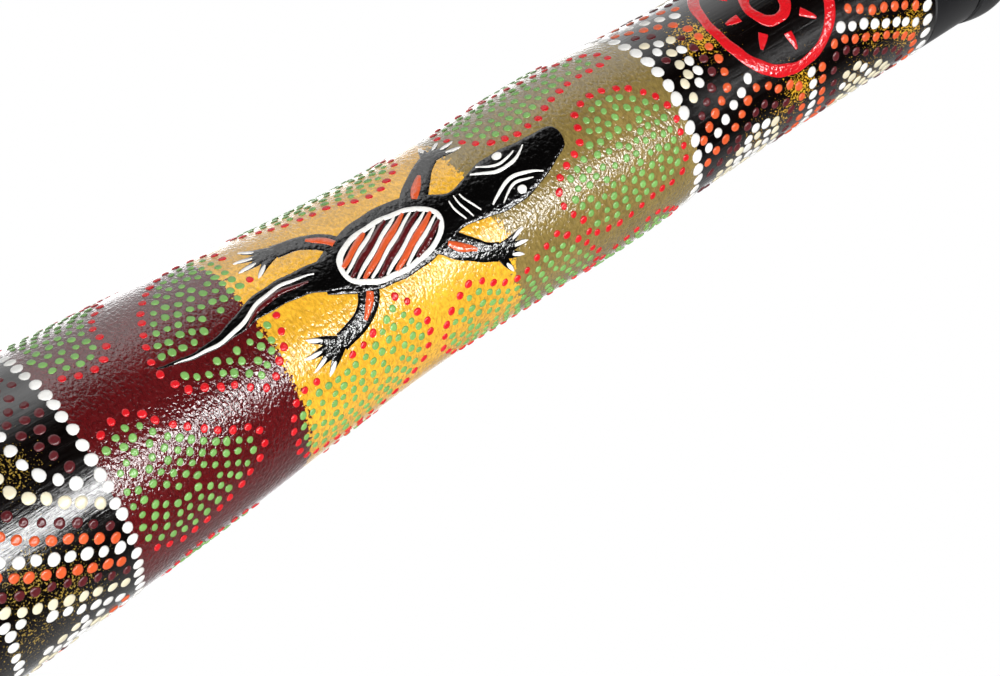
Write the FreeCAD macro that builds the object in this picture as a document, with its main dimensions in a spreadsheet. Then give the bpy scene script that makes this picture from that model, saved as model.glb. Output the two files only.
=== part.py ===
"""Didgeridoo with a moulded, flared tube and a pull-out mouthpiece.

The tube stands upright on its bell. The origin is the centre of the bell's end face and +Z runs up the
air column to the mouthpiece. Lengths are in millimetres.
"""

import FreeCAD, Part
import os

import Sketcher

V = FreeCAD.Vector

# Driving sizes. A "drop" is measured down from the tube's upper end and a "rise" up from the bell's face,
# so each end keeps its shape when the length changes. A "swell" is added to the neck's radius and an
# "inset" is taken off the bell's.
SIZES = {
    # Overall
    "total_length": 1200.0,
    "neck_radius": 24.0,
    "bell_radius": 58.0,
    # Walls of the tube
    "wall": 3.5,
    "bell_wall": 5.5,
    "bell_rounding": 1.8,
    "tube_end_chamfer": 0.6,
    # The neck is straight down to neck_drop, and below it the tube swells unevenly
    "neck_drop": 75.0,
    "run_out_drop": 85.0,
    "shoulder_drop": 98.0,
    "shoulder_swell": 1.8,
    "body_drop": 123.0,
    "body_swell": 2.4,
    "slim_drop": 179.0,
    "slim_swell": 0.6,
    "widening_drop": 239.0,
    "widening_swell": 7.3,
    "full_drop": 299.0,
    "full_swell": 9.9,
    "belly_drop": 379.0,
    "belly_swell": 17.0,
    "waist_swell": 16.4,
    # The lower tube draws in a little and then flares to the bell
    "throat_rise": 437.0,
    "throat_swell": 14.0,
    "flare_rise": 217.0,
    "flare_inset": 11.5,
    "bell_lip_rise": 77.0,
    "bell_lip_inset": 6.0,
    # End collar, bonded into the neck
    "collar_length": 19.8,
    "collar_depth": 34.0,
    "collar_wall": 2.2,
    "collar_chamfer": 0.8,
    "bond_gap": 0.1,
    # Mouthpiece: a rounded rim, and a spigot that slides in the collar
    "seat_gap": 0.2,
    "rim_height": 14.0,
    "rim_step": 0.4,
    "rim_edge": 0.7,
    "rim_bulge": 1.3,
    "rim_bulge_rise": 5.0,
    "rim_fall": 3.5,
    "crown_inset": 3.8,
    "crown_outer_run": 3.2,
    "crown_inner_run": 2.6,
    "mouth_rounding": 2.6,
    "mouth_depth": 5.2,
    "mouthpiece_wall": 3.6,
    "spigot_length": 50.0,
    "spigot_chamfer": 1.0,
    "slide_clearance": 0.1,
    # Seal rings in the spigot's grooves
    "seal_section": 1.0,
    "seal_clearance": 0.08,
    "groove_side_gap": 0.3,
    "upper_seal_drop": 12.0,
    "lower_seal_drop": 36.0,
}

# Sizes worked out from the driving ones, in the order in which they are needed
DERIVED = {
    "tube_length": "total_length - rim_height - seat_gap - collar_length",
    "neck_bore": "neck_radius - wall",
    "bell_bore": "bell_radius - bell_wall",
    "neck_level": "tube_length - neck_drop",
    "belly_height": "tube_length - belly_drop",
    "collar_top": "tube_length + collar_length",
    "collar_bottom": "tube_length - collar_depth",
    "collar_spigot": "neck_bore - bond_gap",
    "socket_radius": "collar_spigot - collar_wall",
    "rim_bottom": "collar_top + seat_gap",
    "rim_base": "neck_radius + rim_step",
    "rim_wide": "rim_base + rim_bulge",
    "rim_bulge_level": "rim_bottom + rim_bulge_rise",
    "rim_fall_level": "total_length - rim_fall",
    "crown_radius": "rim_base - crown_inset",
    "crown_outer": "crown_radius + crown_outer_run",
    "spigot_bottom": "rim_bottom - spigot_length",
    "spigot_radius": "socket_radius - slide_clearance",
    "mouth_bore": "spigot_radius - mouthpiece_wall",
    "crown_inner": "crown_radius - crown_inner_run",
    "mouth_rounding_level": "total_length - mouth_rounding",
    "mouth_level": "total_length - mouth_depth",
    "seal_mid_radius": "socket_radius - seal_clearance - seal_section",
    "groove_floor": "seal_mid_radius - seal_section - seal_clearance",
    "groove_half": "seal_section + groove_side_gap",
    "upper_seal_level": "rim_bottom - upper_seal_drop",
    "upper_groove_top": "upper_seal_level + groove_half",
    "upper_groove_bottom": "upper_seal_level - groove_half",
    "lower_seal_level": "rim_bottom - lower_seal_drop",
    "lower_groove_top": "lower_seal_level + groove_half",
    "lower_groove_bottom": "lower_seal_level - groove_half",
}

# Control points of the tube's outer line from the neck to the bell: level and outer radius
TUBE_LINE = {
    "run_out": ("tube_length - run_out_drop", "neck_radius"),
    "shoulder": ("tube_length - shoulder_drop", "neck_radius + shoulder_swell"),
    "body": ("tube_length - body_drop", "neck_radius + body_swell"),
    "slim": ("tube_length - slim_drop", "neck_radius + slim_swell"),
    "widening": ("tube_length - widening_drop", "neck_radius + widening_swell"),
    "full": ("tube_length - full_drop", "neck_radius + full_swell"),
    "belly": ("belly_height", "neck_radius + belly_swell"),
    "waist": ("(belly_height + throat_rise) / 2", "neck_radius + waist_swell"),
    "throat": ("throat_rise", "neck_radius + throat_swell"),
    "flare": ("flare_rise", "bell_radius - flare_inset"),
    "bell_lip": ("bell_lip_rise", "bell_radius - bell_lip_inset"),
}

CURVE_DEGREE = 3
NEAR = 1e-4


# The document and its table of sizes

def add_cell(sheet, row, name, content):
    """Write one named value into the table."""
    sheet.set(f"A{row}", name)
    sheet.set(f"B{row}", content)
    sheet.setAlias(f"B{row}", name)


def make_sheet(doc):
    """Put the driving and the worked-out sizes into one spreadsheet."""
    sheet = doc.addObject("Spreadsheet::Sheet", "sizes")
    contents = {name: str(value) for name, value in SIZES.items()}
    for name, formula in DERIVED.items():
        contents[name] = "=" + formula
    for name, (level, radius) in TUBE_LINE.items():
        contents[name + "_level"] = "=" + level
        contents[name + "_outer"] = "=" + radius
        contents[name + "_inner"] = f"={name}_outer - wall"
    for row, (name, content) in enumerate(contents.items(), start=1):
        add_cell(sheet, row, name, content)
    doc.recompute()
    return sheet


DOC = FreeCAD.newDocument("didgeridoo")
SHEET = make_sheet(DOC)


def point(place):
    """The sheet's present values for a (radius, level) pair of names, where None is zero."""
    values = [getattr(SHEET, name) if name else 0.0 for name in place]
    return V(float(values[0]), float(values[1]), 0)


# Sketches: outlines whose every point is tied to the sheet

def tie(sketch, element, vertex, place):
    """Fix one vertex of a sketch element at a named radius and level."""
    for kind, axis, name in (("DistanceX", -2, place[0]), ("DistanceY", -1, place[1])):
        if name is None:
            sketch.addConstraint(Sketcher.Constraint("PointOnObject", element, vertex, axis))
            continue
        value = float(getattr(SHEET, name))
        index = sketch.addConstraint(Sketcher.Constraint(kind, element, vertex, value))
        label = f"c{index}"
        sketch.renameConstraint(index, label)
        sketch.setExpression("Constraints." + label, "sizes." + name)


def draw_curve(sketch, poles):
    """Draw a smooth curve, with each control point between its ends tied to the sheet."""
    curve = Part.BSplineCurve([point(pole) for pole in poles], None, None, False, CURVE_DEGREE, None, False)
    element = sketch.addGeometry(curve, False)
    sketch.exposeInternalGeometry(element)
    for step, pole in enumerate(poles[1:-1], start=2):
        tie(sketch, element + step, 3, pole)
    return element


def draw_outline(sketch, corners, curves):
    """Draw a closed outline. curves holds the inner control points of a curved side, by its first corner."""
    sides = []
    for index, corner in enumerate(corners):
        following = corners[(index + 1) % len(corners)]
        if corner in curves:
            sides.append(draw_curve(sketch, [corner] + curves[corner] + [following]))
        else:
            sides.append(sketch.addGeometry(Part.LineSegment(point(corner), point(following)), False))
    for index, side in enumerate(sides):
        sketch.addConstraint(Sketcher.Constraint("Coincident", sides[index - 1], 2, side, 1))
        tie(sketch, side, 1, corners[index])


def add_sketch(body, name, corners, curves=None):
    """Add an outline on the body's own XZ plane."""
    sketch = body.newObject("Sketcher::SketchObject", name)
    plane = [item for item in body.Origin.OriginFeatures if item.Role == "XZ_Plane"][0]
    sketch.AttachmentSupport = [(plane, "")]
    sketch.MapMode = "FlatFace"
    draw_outline(sketch, corners, curves or {})
    DOC.recompute()
    return sketch


# Turned features

def add_body(label):
    """Start a sub-part with its own label and place."""
    body = DOC.addObject("PartDesign::Body", label)
    body.Label = label
    body.Placement = FreeCAD.Placement()
    return body


def turn(body, kind, name, sketch):
    """Turn an outline a full circle about +Z, as a Revolution that adds or a Groove that cuts."""
    feature = body.newObject("PartDesign::" + kind, name)
    feature.Profile = sketch
    feature.ReferenceAxis = (sketch, ["V_Axis"])
    feature.Angle = 360.0
    body.Tip = feature
    DOC.recompute()
    return feature


def round_edges(shape, places):
    """Names of the circular edges at the given (radius, level) places."""
    wanted = [point(place) for place in places]
    names = []
    for index, edge in enumerate(shape.Edges, start=1):
        if not isinstance(edge.Curve, Part.Circle):
            continue
        found = V(edge.Curve.Radius, edge.Curve.Center.z, 0)
        if any(found.distanceToPoint(place) < NEAR for place in wanted):
            names.append(f"Edge{index}")
    if len(names) != len(places):
        raise RuntimeError(f"found {len(names)} of {len(places)} edges")
    return names


def soften(body, kind, name, places, size):
    """Fillet or chamfer the body's round edges at the given places by a named size."""
    base = body.Tip
    feature = body.newObject("PartDesign::" + kind, name)
    feature.Base = (base, round_edges(base.Shape, places))
    feature.setExpression("Radius" if kind == "Fillet" else "Size", "sizes." + size)
    body.Tip = feature
    DOC.recompute()
    return feature


# Sub-parts

def make_body_tube():
    """The moulded tube: a straight neck, an uneven swell and a flared bell with a rounded edge."""
    body = add_body("body_tube")
    names = list(TUBE_LINE)
    outer = [(name + "_outer", name + "_level") for name in names]
    inner = [(name + "_inner", name + "_level") for name in names]
    corners = [
        ("neck_bore", "tube_length"),
        ("neck_radius", "tube_length"),
        ("neck_radius", "neck_level"),
        ("bell_radius", None),
        ("bell_bore", None),
        ("neck_bore", "neck_level"),
    ]
    curves = {corners[2]: outer, corners[4]: inner[::-1]}
    turn(body, "Revolution", "tube_wall", add_sketch(body, "tube_outline", corners, curves))
    soften(body, "Fillet", "bell_edge", corners[3:5], "bell_rounding")
    soften(body, "Chamfer", "tube_end", corners[1:2], "tube_end_chamfer")
    return body


def make_end_collar():
    """The plain collar bonded into the neck, whose bore is the mouthpiece's socket."""
    body = add_body("end_collar")
    corners = [
        ("socket_radius", "collar_bottom"),
        ("collar_spigot", "collar_bottom"),
        ("collar_spigot", "tube_length"),
        ("neck_radius", "tube_length"),
        ("neck_radius", "collar_top"),
        ("socket_radius", "collar_top"),
    ]
    turn(body, "Revolution", "collar_ring", add_sketch(body, "collar_outline", corners))
    soften(body, "Chamfer", "collar_edges", corners[3:5], "collar_chamfer")
    return body


def make_mouthpiece():
    """The mouthpiece: a bulging rim with a rounded crown, and a grooved spigot below it."""
    body = add_body("mouthpiece")
    corners = [
        ("mouth_bore", "spigot_bottom"),
        ("spigot_radius", "spigot_bottom"),
        ("spigot_radius", "rim_bottom"),
        ("rim_base", "rim_bottom"),
        ("crown_radius", "total_length"),
        ("mouth_bore", "mouth_level"),
    ]
    curves = {
        corners[3]: [
            ("rim_wide", "rim_bulge_level"),
            ("rim_wide", "rim_fall_level"),
            ("crown_outer", "total_length"),
        ],
        corners[4]: [
            ("crown_inner", "total_length"),
            ("mouth_bore", "mouth_rounding_level"),
        ],
    }
    turn(body, "Revolution", "rim_and_spigot", add_sketch(body, "mouthpiece_outline", corners, curves))
    for place in ("upper", "lower"):
        top = place + "_groove_top"
        bottom = place + "_groove_bottom"
        groove = [
            ("groove_floor", bottom),
            ("socket_radius", bottom),
            ("socket_radius", top),
            ("groove_floor", top),
        ]
        turn(body, "Groove", place + "_groove", add_sketch(body, place + "_groove_outline", groove))
    soften(body, "Chamfer", "spigot_lead_in", corners[1:2], "spigot_chamfer")
    soften(body, "Fillet", "rim_lower_edge", corners[3:4], "rim_edge")
    return body


def make_seal_ring(place):
    """A rubber ring in one of the spigot's grooves."""
    ring = DOC.addObject("Part::Torus", place + "_seal_ring")
    ring.Label = place + "_seal_ring"
    ring.setExpression("Radius1", "sizes.seal_mid_radius")
    ring.setExpression("Radius2", "sizes.seal_section")
    ring.setExpression(".Placement.Base.z", f"sizes.{place}_seal_level")
    return ring


def check_document():
    """Stop if any object of the document failed to rebuild."""
    for item in DOC.Objects:
        if "Invalid" in item.State or "Error" in item.State:
            raise RuntimeError(f"{item.Label} failed: {item.State}")


def write_parts(pieces):
    """Check each sub-part's solid and write it to a file with the sub-part's name."""
    for piece in pieces:
        shape = piece.Shape
        if shape.isNull() or not shape.isValid() or len(shape.Solids) != 1:
            raise RuntimeError(f"{piece.Label} is not one valid solid")
    os.makedirs("parts", exist_ok=True)
    for piece in pieces:
        piece.Shape.exportStep(f"parts/{piece.Label}.step")
        box = piece.Shape.BoundBox
        print(f"{piece.Label}: {box.XLength:.1f} x {box.YLength:.1f} x {box.ZLength:.1f} mm, "
              f"z {box.ZMin:.1f} to {box.ZMax:.1f}, {piece.Shape.Volume / 1000:.1f} cm3")


PIECES = [
    make_body_tube(),
    make_end_collar(),
    make_mouthpiece(),
    make_seal_ring("upper"),
    make_seal_ring("lower"),
]
DOC.recompute()
check_document()
write_parts(PIECES)
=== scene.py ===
import itertools
import math
import random

import bpy
import numpy as np
from bpy.props import FloatProperty, FloatVectorProperty, IntProperty, PointerProperty, StringProperty
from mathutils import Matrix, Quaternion, Vector


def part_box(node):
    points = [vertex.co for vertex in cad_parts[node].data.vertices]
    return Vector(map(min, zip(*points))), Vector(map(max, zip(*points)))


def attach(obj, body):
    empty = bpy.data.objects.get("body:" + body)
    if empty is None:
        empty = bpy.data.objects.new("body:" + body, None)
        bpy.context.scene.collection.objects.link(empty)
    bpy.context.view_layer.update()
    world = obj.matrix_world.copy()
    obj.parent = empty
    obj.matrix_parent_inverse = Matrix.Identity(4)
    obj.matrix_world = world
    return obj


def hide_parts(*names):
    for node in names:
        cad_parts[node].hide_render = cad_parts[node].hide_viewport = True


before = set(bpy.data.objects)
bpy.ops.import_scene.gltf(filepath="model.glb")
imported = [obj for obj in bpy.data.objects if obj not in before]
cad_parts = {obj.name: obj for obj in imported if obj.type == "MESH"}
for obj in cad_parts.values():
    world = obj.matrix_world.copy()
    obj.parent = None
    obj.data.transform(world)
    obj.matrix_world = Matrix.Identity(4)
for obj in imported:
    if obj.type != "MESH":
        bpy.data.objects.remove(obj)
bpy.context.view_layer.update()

bl_info = {
    "name": "Painted didgeridoo",
    "version": (1, 0, 0),
    "blender": (4, 5, 0),
    "location": "3D View > Sidebar > Didgeridoo",
    "description": "Builds the painted tube, its dots, its lizard and its end fittings",
    "category": "Object",
}

MM = 0.001
FULL_TURN = 2 * math.pi

# Heights on the tube, in metres. Painting sizes are in mm above the top panel's upper edge ("along")
# and in degrees from the front of the tube, which faces -Y, towards +X ("around").
TUBE_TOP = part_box("body_tube")[1].z
NECK_BAND = 89.0
PANEL_EDGE = TUBE_TOP - NECK_BAND * MM
BELL_MOUTH = -PANEL_EDGE / MM

# The painted bands from the neck to the bell: kind, then length in mm
PANEL_LENGTH = 186.0
RING_SEAT = 1.8
BAND_LENGTH = 120.0
BANDS = [
    ("black", NECK_BAND + RING_SEAT),
    ("top_panel", PANEL_LENGTH - RING_SEAT),
    ("black", BAND_LENGTH),
    ("middle_panel", PANEL_LENGTH),
    ("black", BAND_LENGTH),
    ("low_panel", PANEL_LENGTH),
]

# How each panel shares its length among its colours, from the top down
PANEL_SHARES = {
    "top_panel": [("olive", 0.34), ("yellow", 0.375), ("burgundy", 0.285)],
    "middle_panel": [("yellow", 0.33), ("burgundy", 0.34), ("olive", 0.33)],
    "low_panel": [("burgundy", 0.3), ("olive", 0.35), ("yellow", 0.35)],
}


def band_edges():
    """Each band as (kind, top, bottom) in mm along, the last one running out to the bell."""
    edges = []
    top = NECK_BAND
    for kind, length in BANDS:
        edges.append((kind, top, top - length))
        top -= length
    edges.append(("black", top, BELL_MOUTH))
    return edges


EDGES = band_edges()


class PaintSettings(bpy.types.PropertyGroup):
    """Colours and sizes of the hand painting."""

    olive: StringProperty(name="Olive", description="Ground nearest the mouthpiece", default="#88743f")
    yellow: StringProperty(name="Yellow", description="Ground behind the lizard", default="#ecb132")
    burgundy: StringProperty(name="Burgundy", description="Ground nearest the bell", default="#571013")
    black: StringProperty(name="Black", description="Ground of the dotted bands", default="#020101")
    white: StringProperty(name="White dots", description="Big dots and claws", default="#fbf9f4")
    cream: StringProperty(name="Cream dots", description="Yellowed white dots", default="#f0e6c8")
    orange: StringProperty(name="Orange dots", description="Rows of the arches", default="#e86030")
    maroon: StringProperty(name="Maroon dots", description="Dark rows of the arches", default="#5c1c21")
    green: StringProperty(name="Green dots", description="Fill of the islands", default="#80b660")
    red: StringProperty(name="Red dots", description="Outlines of the islands", default="#e01b24")
    spatter: StringProperty(name="Spatter", description="Flecks on the black bands", default="#d8a52a")
    dot_height: FloatProperty(
        name="Dot height",
        description="How proud a full dot stands",
        default=0.36 * MM,
        subtype="DISTANCE",
        unit="LENGTH",
    )
    film: FloatProperty(
        name="Brush film",
        description="Thickness of a brush stroke",
        default=0.12 * MM,
        subtype="DISTANCE",
        unit="LENGTH",
    )
    seed: IntProperty(name="Seed", description="Which unevenness the hand has", default=11)


class StageSettings(bpy.types.PropertyGroup):
    """Camera and lights."""

    eye: FloatVectorProperty(
        name="Eye",
        description="Where the camera stands",
        default=(0.0, -0.57987, PANEL_EDGE - 0.34058),
        subtype="XYZ",
        unit="LENGTH",
    )
    turn: FloatProperty(
        name="Turn", description="Camera heading from +Y", default=math.radians(-2.82), subtype="ANGLE"
    )
    lift: FloatProperty(
        name="Lift", description="Camera angle above level", default=math.radians(25.08), subtype="ANGLE"
    )
    roll: FloatProperty(
        name="Roll", description="Camera turned about its line of sight", default=math.radians(57.22),
        subtype="ANGLE",
    )
    lens: FloatProperty(name="Lens", description="Focal length in mm", default=90.0)
    strip_power: FloatProperty(
        name="Strip power", description="Power of the tall strip light", default=36.0, unit="POWER"
    )


def linear(code):
    """An sRGB hex colour as the linear RGBA that a shader takes."""
    parts = [int(code[at:at + 2], 16) / 255 for at in (1, 3, 5)]
    rgb = [c / 12.92 if c <= 0.04045 else ((c + 0.055) / 1.055) ** 2.4 for c in parts]
    return (*rgb, 1.0)


def shaded(colour, factor, lift=0.0):
    """A linear colour made darker or paler."""
    return tuple(min(1.0, c * factor + lift) for c in colour[:3]) + (1.0,)


def shader_node(tree, kind, inputs=None, stops=None, **settings):
    """Add a node, give it its settings and ramp stops, then fill or link its inputs."""
    node = tree.nodes.new(kind)
    for name, value in settings.items():
        setattr(node, name, value)
    for number, (place, colour) in enumerate(stops or []):
        elements = node.color_ramp.elements
        element = elements[number] if number < 2 else elements.new(place)
        element.position = place
        element.color = colour
    for name, value in (inputs or {}).items():
        if isinstance(value, bpy.types.NodeSocket):
            tree.links.new(value, node.inputs[name])
        else:
            node.inputs[name].default_value = value
    return node


def per_size(size):
    """The scale of a noise whose features come out about this many mm across."""
    return 1 / (size * MM)


def new_material(name):
    """An empty node material and its tree, with the output in place."""
    material = bpy.data.materials.new(name)
    material.use_nodes = True
    material.node_tree.nodes.clear()
    return material, material.node_tree


def finish_material(tree, surface):
    """Link a shader to the material's output."""
    shader_node(tree, "ShaderNodeOutputMaterial", {"Surface": surface.outputs[0]})


# The tube's own line, and how flat painting is laid on it. The line is read at heights this far apart,
# from points whose normals look this much outwards.
LINE_SPACING = 8 * MM
SIDEWAYS = 0.9


def tube_line(outward):
    """Heights and radii in metres of the tube's outer face (outward 1) or its bore (-1)."""
    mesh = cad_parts["body_tube"].data
    spots = np.array([vertex.co for vertex in mesh.vertices])
    normals = np.array([vertex.normal for vertex in mesh.vertices])
    radii = np.hypot(spots[:, 0], spots[:, 1])
    facing = (normals[:, 0] * spots[:, 0] + normals[:, 1] * spots[:, 1]) / radii
    keep = facing * outward > SIDEWAYS
    order = np.argsort(spots[keep, 2])
    heights = spots[keep, 2][order]
    radii = radii[keep][order]
    cells = np.round(heights / LINE_SPACING).astype(int)
    found = np.unique(cells)
    level = np.array([heights[cells == cell].mean() for cell in found])
    reach = np.array([radii[cells == cell].mean() for cell in found])
    return level, reach


def smooth_line(level, reach, places):
    """A smooth curve through the (level, reach) points, read at each place."""
    slope = np.gradient(reach, level)
    at = np.clip(np.searchsorted(level, places) - 1, 0, len(level) - 2)
    step = level[at + 1] - level[at]
    part = (places - level[at]) / step
    rise = 3 * part ** 2 - 2 * part ** 3
    ease_out = part * (1 - part) ** 2
    ease_in = part ** 2 * (part - 1)
    return (
        reach[at] * (1 - rise)
        + reach[at + 1] * rise
        + step * (ease_out * slope[at] + ease_in * slope[at + 1])
    )


LEVELS = np.arange(0.0, TUBE_TOP + 0.5 * MM, MM)
OUTER = smooth_line(*tube_line(1), LEVELS)
BORE = smooth_line(*tube_line(-1), LEVELS)
OUTER_SLOPE = np.gradient(OUTER, LEVELS)


def radius_at(along):
    """Outer radius in mm at a place along the painting."""
    return np.interp(PANEL_EDGE + np.asarray(along) * MM, LEVELS, OUTER) / MM


def turn_for(sideways, along):
    """The degrees around that this many mm sideways make at a height."""
    return math.degrees(sideways / radius_at(along))


def turned_by(points, turn):
    """Points moved around the tube by some degrees."""
    return [(along, around + turn) for along, around in points]


def on_tube(along, around, proud):
    """Points in metres from mm along, degrees around and mm proud of the surface."""
    height = PANEL_EDGE + np.asarray(along) * MM
    radius = np.interp(height, LEVELS, OUTER)
    lean = np.arctan(np.interp(height, LEVELS, OUTER_SLOPE))
    angle = np.radians(around)
    out = np.asarray(proud) * MM
    across = radius + out * np.cos(lean)
    return np.stack(
        [across * np.sin(angle), -across * np.cos(angle), height - out * np.sin(lean)], axis=-1
    )


# Working with objects: doubles closer than this are merged, and edges sharper than this stay sharp
SEAM = 0.002 * MM
SHARP_EDGE = math.radians(40)

# How many parts the curve between two points of a row is read in
CURVE_PARTS = 12


def select_only(*pieces):
    """Select just these pieces, the last one active."""
    bpy.ops.object.select_all(action="DESELECT")
    for piece in pieces:
        piece.select_set(True)
        bpy.context.view_layer.objects.active = piece


def spun(name, outline, steps):
    """Draw an outline of (radius, height) points and spin it about the tube's axis."""
    bpy.ops.object.select_all(action="DESELECT")
    bpy.ops.mesh.primitive_plane_add(size=MM)
    piece = bpy.context.object
    piece.name = name
    bpy.ops.object.mode_set(mode="EDIT")
    bpy.ops.mesh.select_all(action="SELECT")
    bpy.ops.mesh.merge(type="CENTER")
    bpy.ops.transform.translate(value=(outline[0][0], 0, outline[0][1]))
    for start, end in zip(outline, outline[1:]):
        step = (end[0] - start[0], 0, end[1] - start[1])
        bpy.ops.mesh.extrude_vertices_move(TRANSFORM_OT_translate={"value": step})
    bpy.ops.mesh.select_all(action="SELECT")
    bpy.ops.mesh.spin(steps=steps, angle=FULL_TURN, center=(0, 0, 0), axis=(0, 0, 1))
    bpy.ops.mesh.select_all(action="SELECT")
    bpy.ops.mesh.remove_doubles(threshold=SEAM)
    bpy.ops.mesh.normals_make_consistent(inside=False)
    bpy.ops.object.mode_set(mode="OBJECT")
    bpy.ops.object.shade_smooth_by_angle(angle=SHARP_EDGE)
    return piece


def mesh_piece(name, spots, faces, material):
    """A new piece from finished points and faces."""
    mesh = bpy.data.meshes.new(name)
    mesh.from_pydata(spots, [], faces)
    mesh.materials.append(material)
    mesh.polygons.foreach_set("use_smooth", [True] * len(mesh.polygons))
    piece = bpy.data.objects.new(name, mesh)
    bpy.context.scene.collection.objects.link(piece)
    return piece


def tag_points(piece, name, values):
    """Keep one number per point on the mesh, for its material to read."""
    attribute = piece.data.attributes.new(name, "FLOAT", "POINT")
    attribute.data.foreach_set("value", np.asarray(values, dtype=np.float32))


def through(points, closed, step):
    """A smooth line through (along, around) points, as even steps of about this many mm."""
    points = np.array(points, dtype=float)
    if closed:
        ring = np.vstack([points[-1], points, points[:2]])
    else:
        ring = np.vstack([2 * points[0] - points[1], points, 2 * points[-1] - points[-2]])
    share = np.linspace(0, 1, CURVE_PARTS, endpoint=False)[:, None]
    pieces = []
    for one, two, three, four in zip(ring, ring[1:], ring[2:], ring[3:]):
        pieces.append(
            0.5 * (
                2 * two
                + (three - one) * share
                + (2 * one - 5 * two + 4 * three - four) * share ** 2
                + (3 * two - one - 3 * three + four) * share ** 3
            )
        )
    line = np.vstack(pieces + [ring[-2]])
    flat = line * [1, 1]
    flat[:, 1] = np.radians(line[:, 1]) * radius_at(line[:, 0])
    run = np.concatenate([[0], np.cumsum(np.hypot(*np.diff(flat, axis=0).T))])
    count = max(2, int(round(run[-1] / step)) + (0 if closed else 1))
    marks = np.linspace(0, run[-1], count, endpoint=not closed)
    return np.stack([np.interp(marks, run, line[:, 0]), np.interp(marks, run, line[:, 1])], axis=1)


# The lizard, the ring and everything else that is laid on with a brush. A stroke is a run of points, each
# (along, around, half width in mm).

LIZARD_BODY = [
    [(-114, -16, 3.8), (-107, -14.5, 7.0), (-97, -15.5, 10.0), (-85, -16, 10.2), (-77, -13.5, 6.6),
     (-71, -11, 4.4), (-64, -11.5, 6.8), (-57, -12.5, 7.8), (-50, -13.5, 6.8), (-43, -16, 4.8),
     (-39, -17.6, 4.1), (-37.4, -18, 3.2), (-36.4, -18, 1.8), (-36.1, -18, 0.2)],
    [(-104, -14, 6.4), (-110, -16, 5.2), (-117, -20, 3.7), (-125, -21, 3.4), (-132, -20, 2.8),
     (-138, -16.5, 2.0), (-146, -14, 1.1), (-154, -14.5, 0.6), (-161, -18, 0.15)],
]

# Legs and head lines are given for one side, as degrees away from the lizard's middle line, and mirrored.
# Each leg is its line from the body to the palm, where its four toes end, and the patch painted on it.
LIZARD_MIDDLE = -14.0
LIZARD_LEGS = [
    ([(-82, 10, 3.8), (-78.3, 18.5, 3.8), (-74.2, 26.5, 3.2), (-70.6, 32.5, 2.5), (-68, 35.5, 2.7)],
     [(-66, 49), (-62.2, 44), (-60, 38), (-60, 31)],
     [(-79.6, 16, 0.7), (-77.2, 21, 2.0), (-73.4, 27.5, 0.5)]),
    ([(-103.5, 9.5, 3.5), (-105, 18, 3.2), (-108.5, 25, 2.8), (-113, 28.5, 2.4), (-117.5, 30, 2.7)],
     [(-124.8, 20.5), (-127.4, 27.5), (-126.4, 34.5), (-123.4, 40.5)],
     [(-104.3, 16, 1.1), (-105.8, 21.6, 1.5), (-109.2, 27, 0.5)]),
]

BELLY_CENTRE = (-92.5, -13.5)
BELLY_HALF = (15.6, 7.3)
BELLY_STRIPE_GAP = 6.6
BELLY_SLANT = math.radians(26)

EYE = (-54.3, 11.9)
EYE_LINES = [
    [(-63.4, 11, 0.25), (-59.5, 5.4, 0.55), (-54.5, 2.8, 0.6), (-50, 5, 0.5), (-46.5, 9.5, 0.2)],
    [(-60.8, 12.8, 0.2), (-57.3, 7.8, 0.45), (-53.3, 6.4, 0.45), (-49.8, 9.6, 0.2)],
]
NECK_LINES = [
    [(-72.8, -18, 0.2), (-73, -11, 0.45), (-71.8, -4, 0.2)],
    [(-70.8, -19, 0.2), (-71, -11, 0.45), (-69.6, -3.5, 0.2)],
    [(-69.2, -18, 0.2), (-68.8, -11, 0.45), (-66.8, -4.5, 0.2)],
]

LIZARD_TAIL_LINES = {
    "white": [(-114, -20.5, 0.2), (-119, -23.4, 0.5), (-125, -23.8, 0.6), (-131, -21.5, 0.6),
              (-137.5, -15.6, 0.6), (-144, -13.2, 0.55), (-151, -13.8, 0.4), (-157, -15.6, 0.1)],
    "maroon": [(-116.5, -18.2, 0.3), (-121, -20.4, 0.8), (-127, -20.8, 0.9), (-132.5, -18, 0.7),
               (-137, -13.6, 0.2)],
}

RING_CENTRE = (39.0, -24.0)
RING_REACH = 18.8
RING_SHARE_AROUND = 1.08
RING_HALF_WIDTH = 1.75

# How far in mm the hand strays from a stroke's line, how far in a stroke rounds off, and how many parts lie
# between two of its points
HAND_SHAKE = 0.12
STROKE_EDGE = 0.2
STROKE_PARTS = 6


def lizard_side(points, side):
    """Half-lizard points moved out to one side, 1 or -1, of its middle line."""
    return [(point[0], LIZARD_MIDDLE + side * point[1], *point[2:]) for point in points]


def lizard_legs():
    """All four legs as (line, toes, patch)."""
    return [[lizard_side(part, side) for part in leg] for side in (-1, 1) for leg in LIZARD_LEGS]


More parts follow.
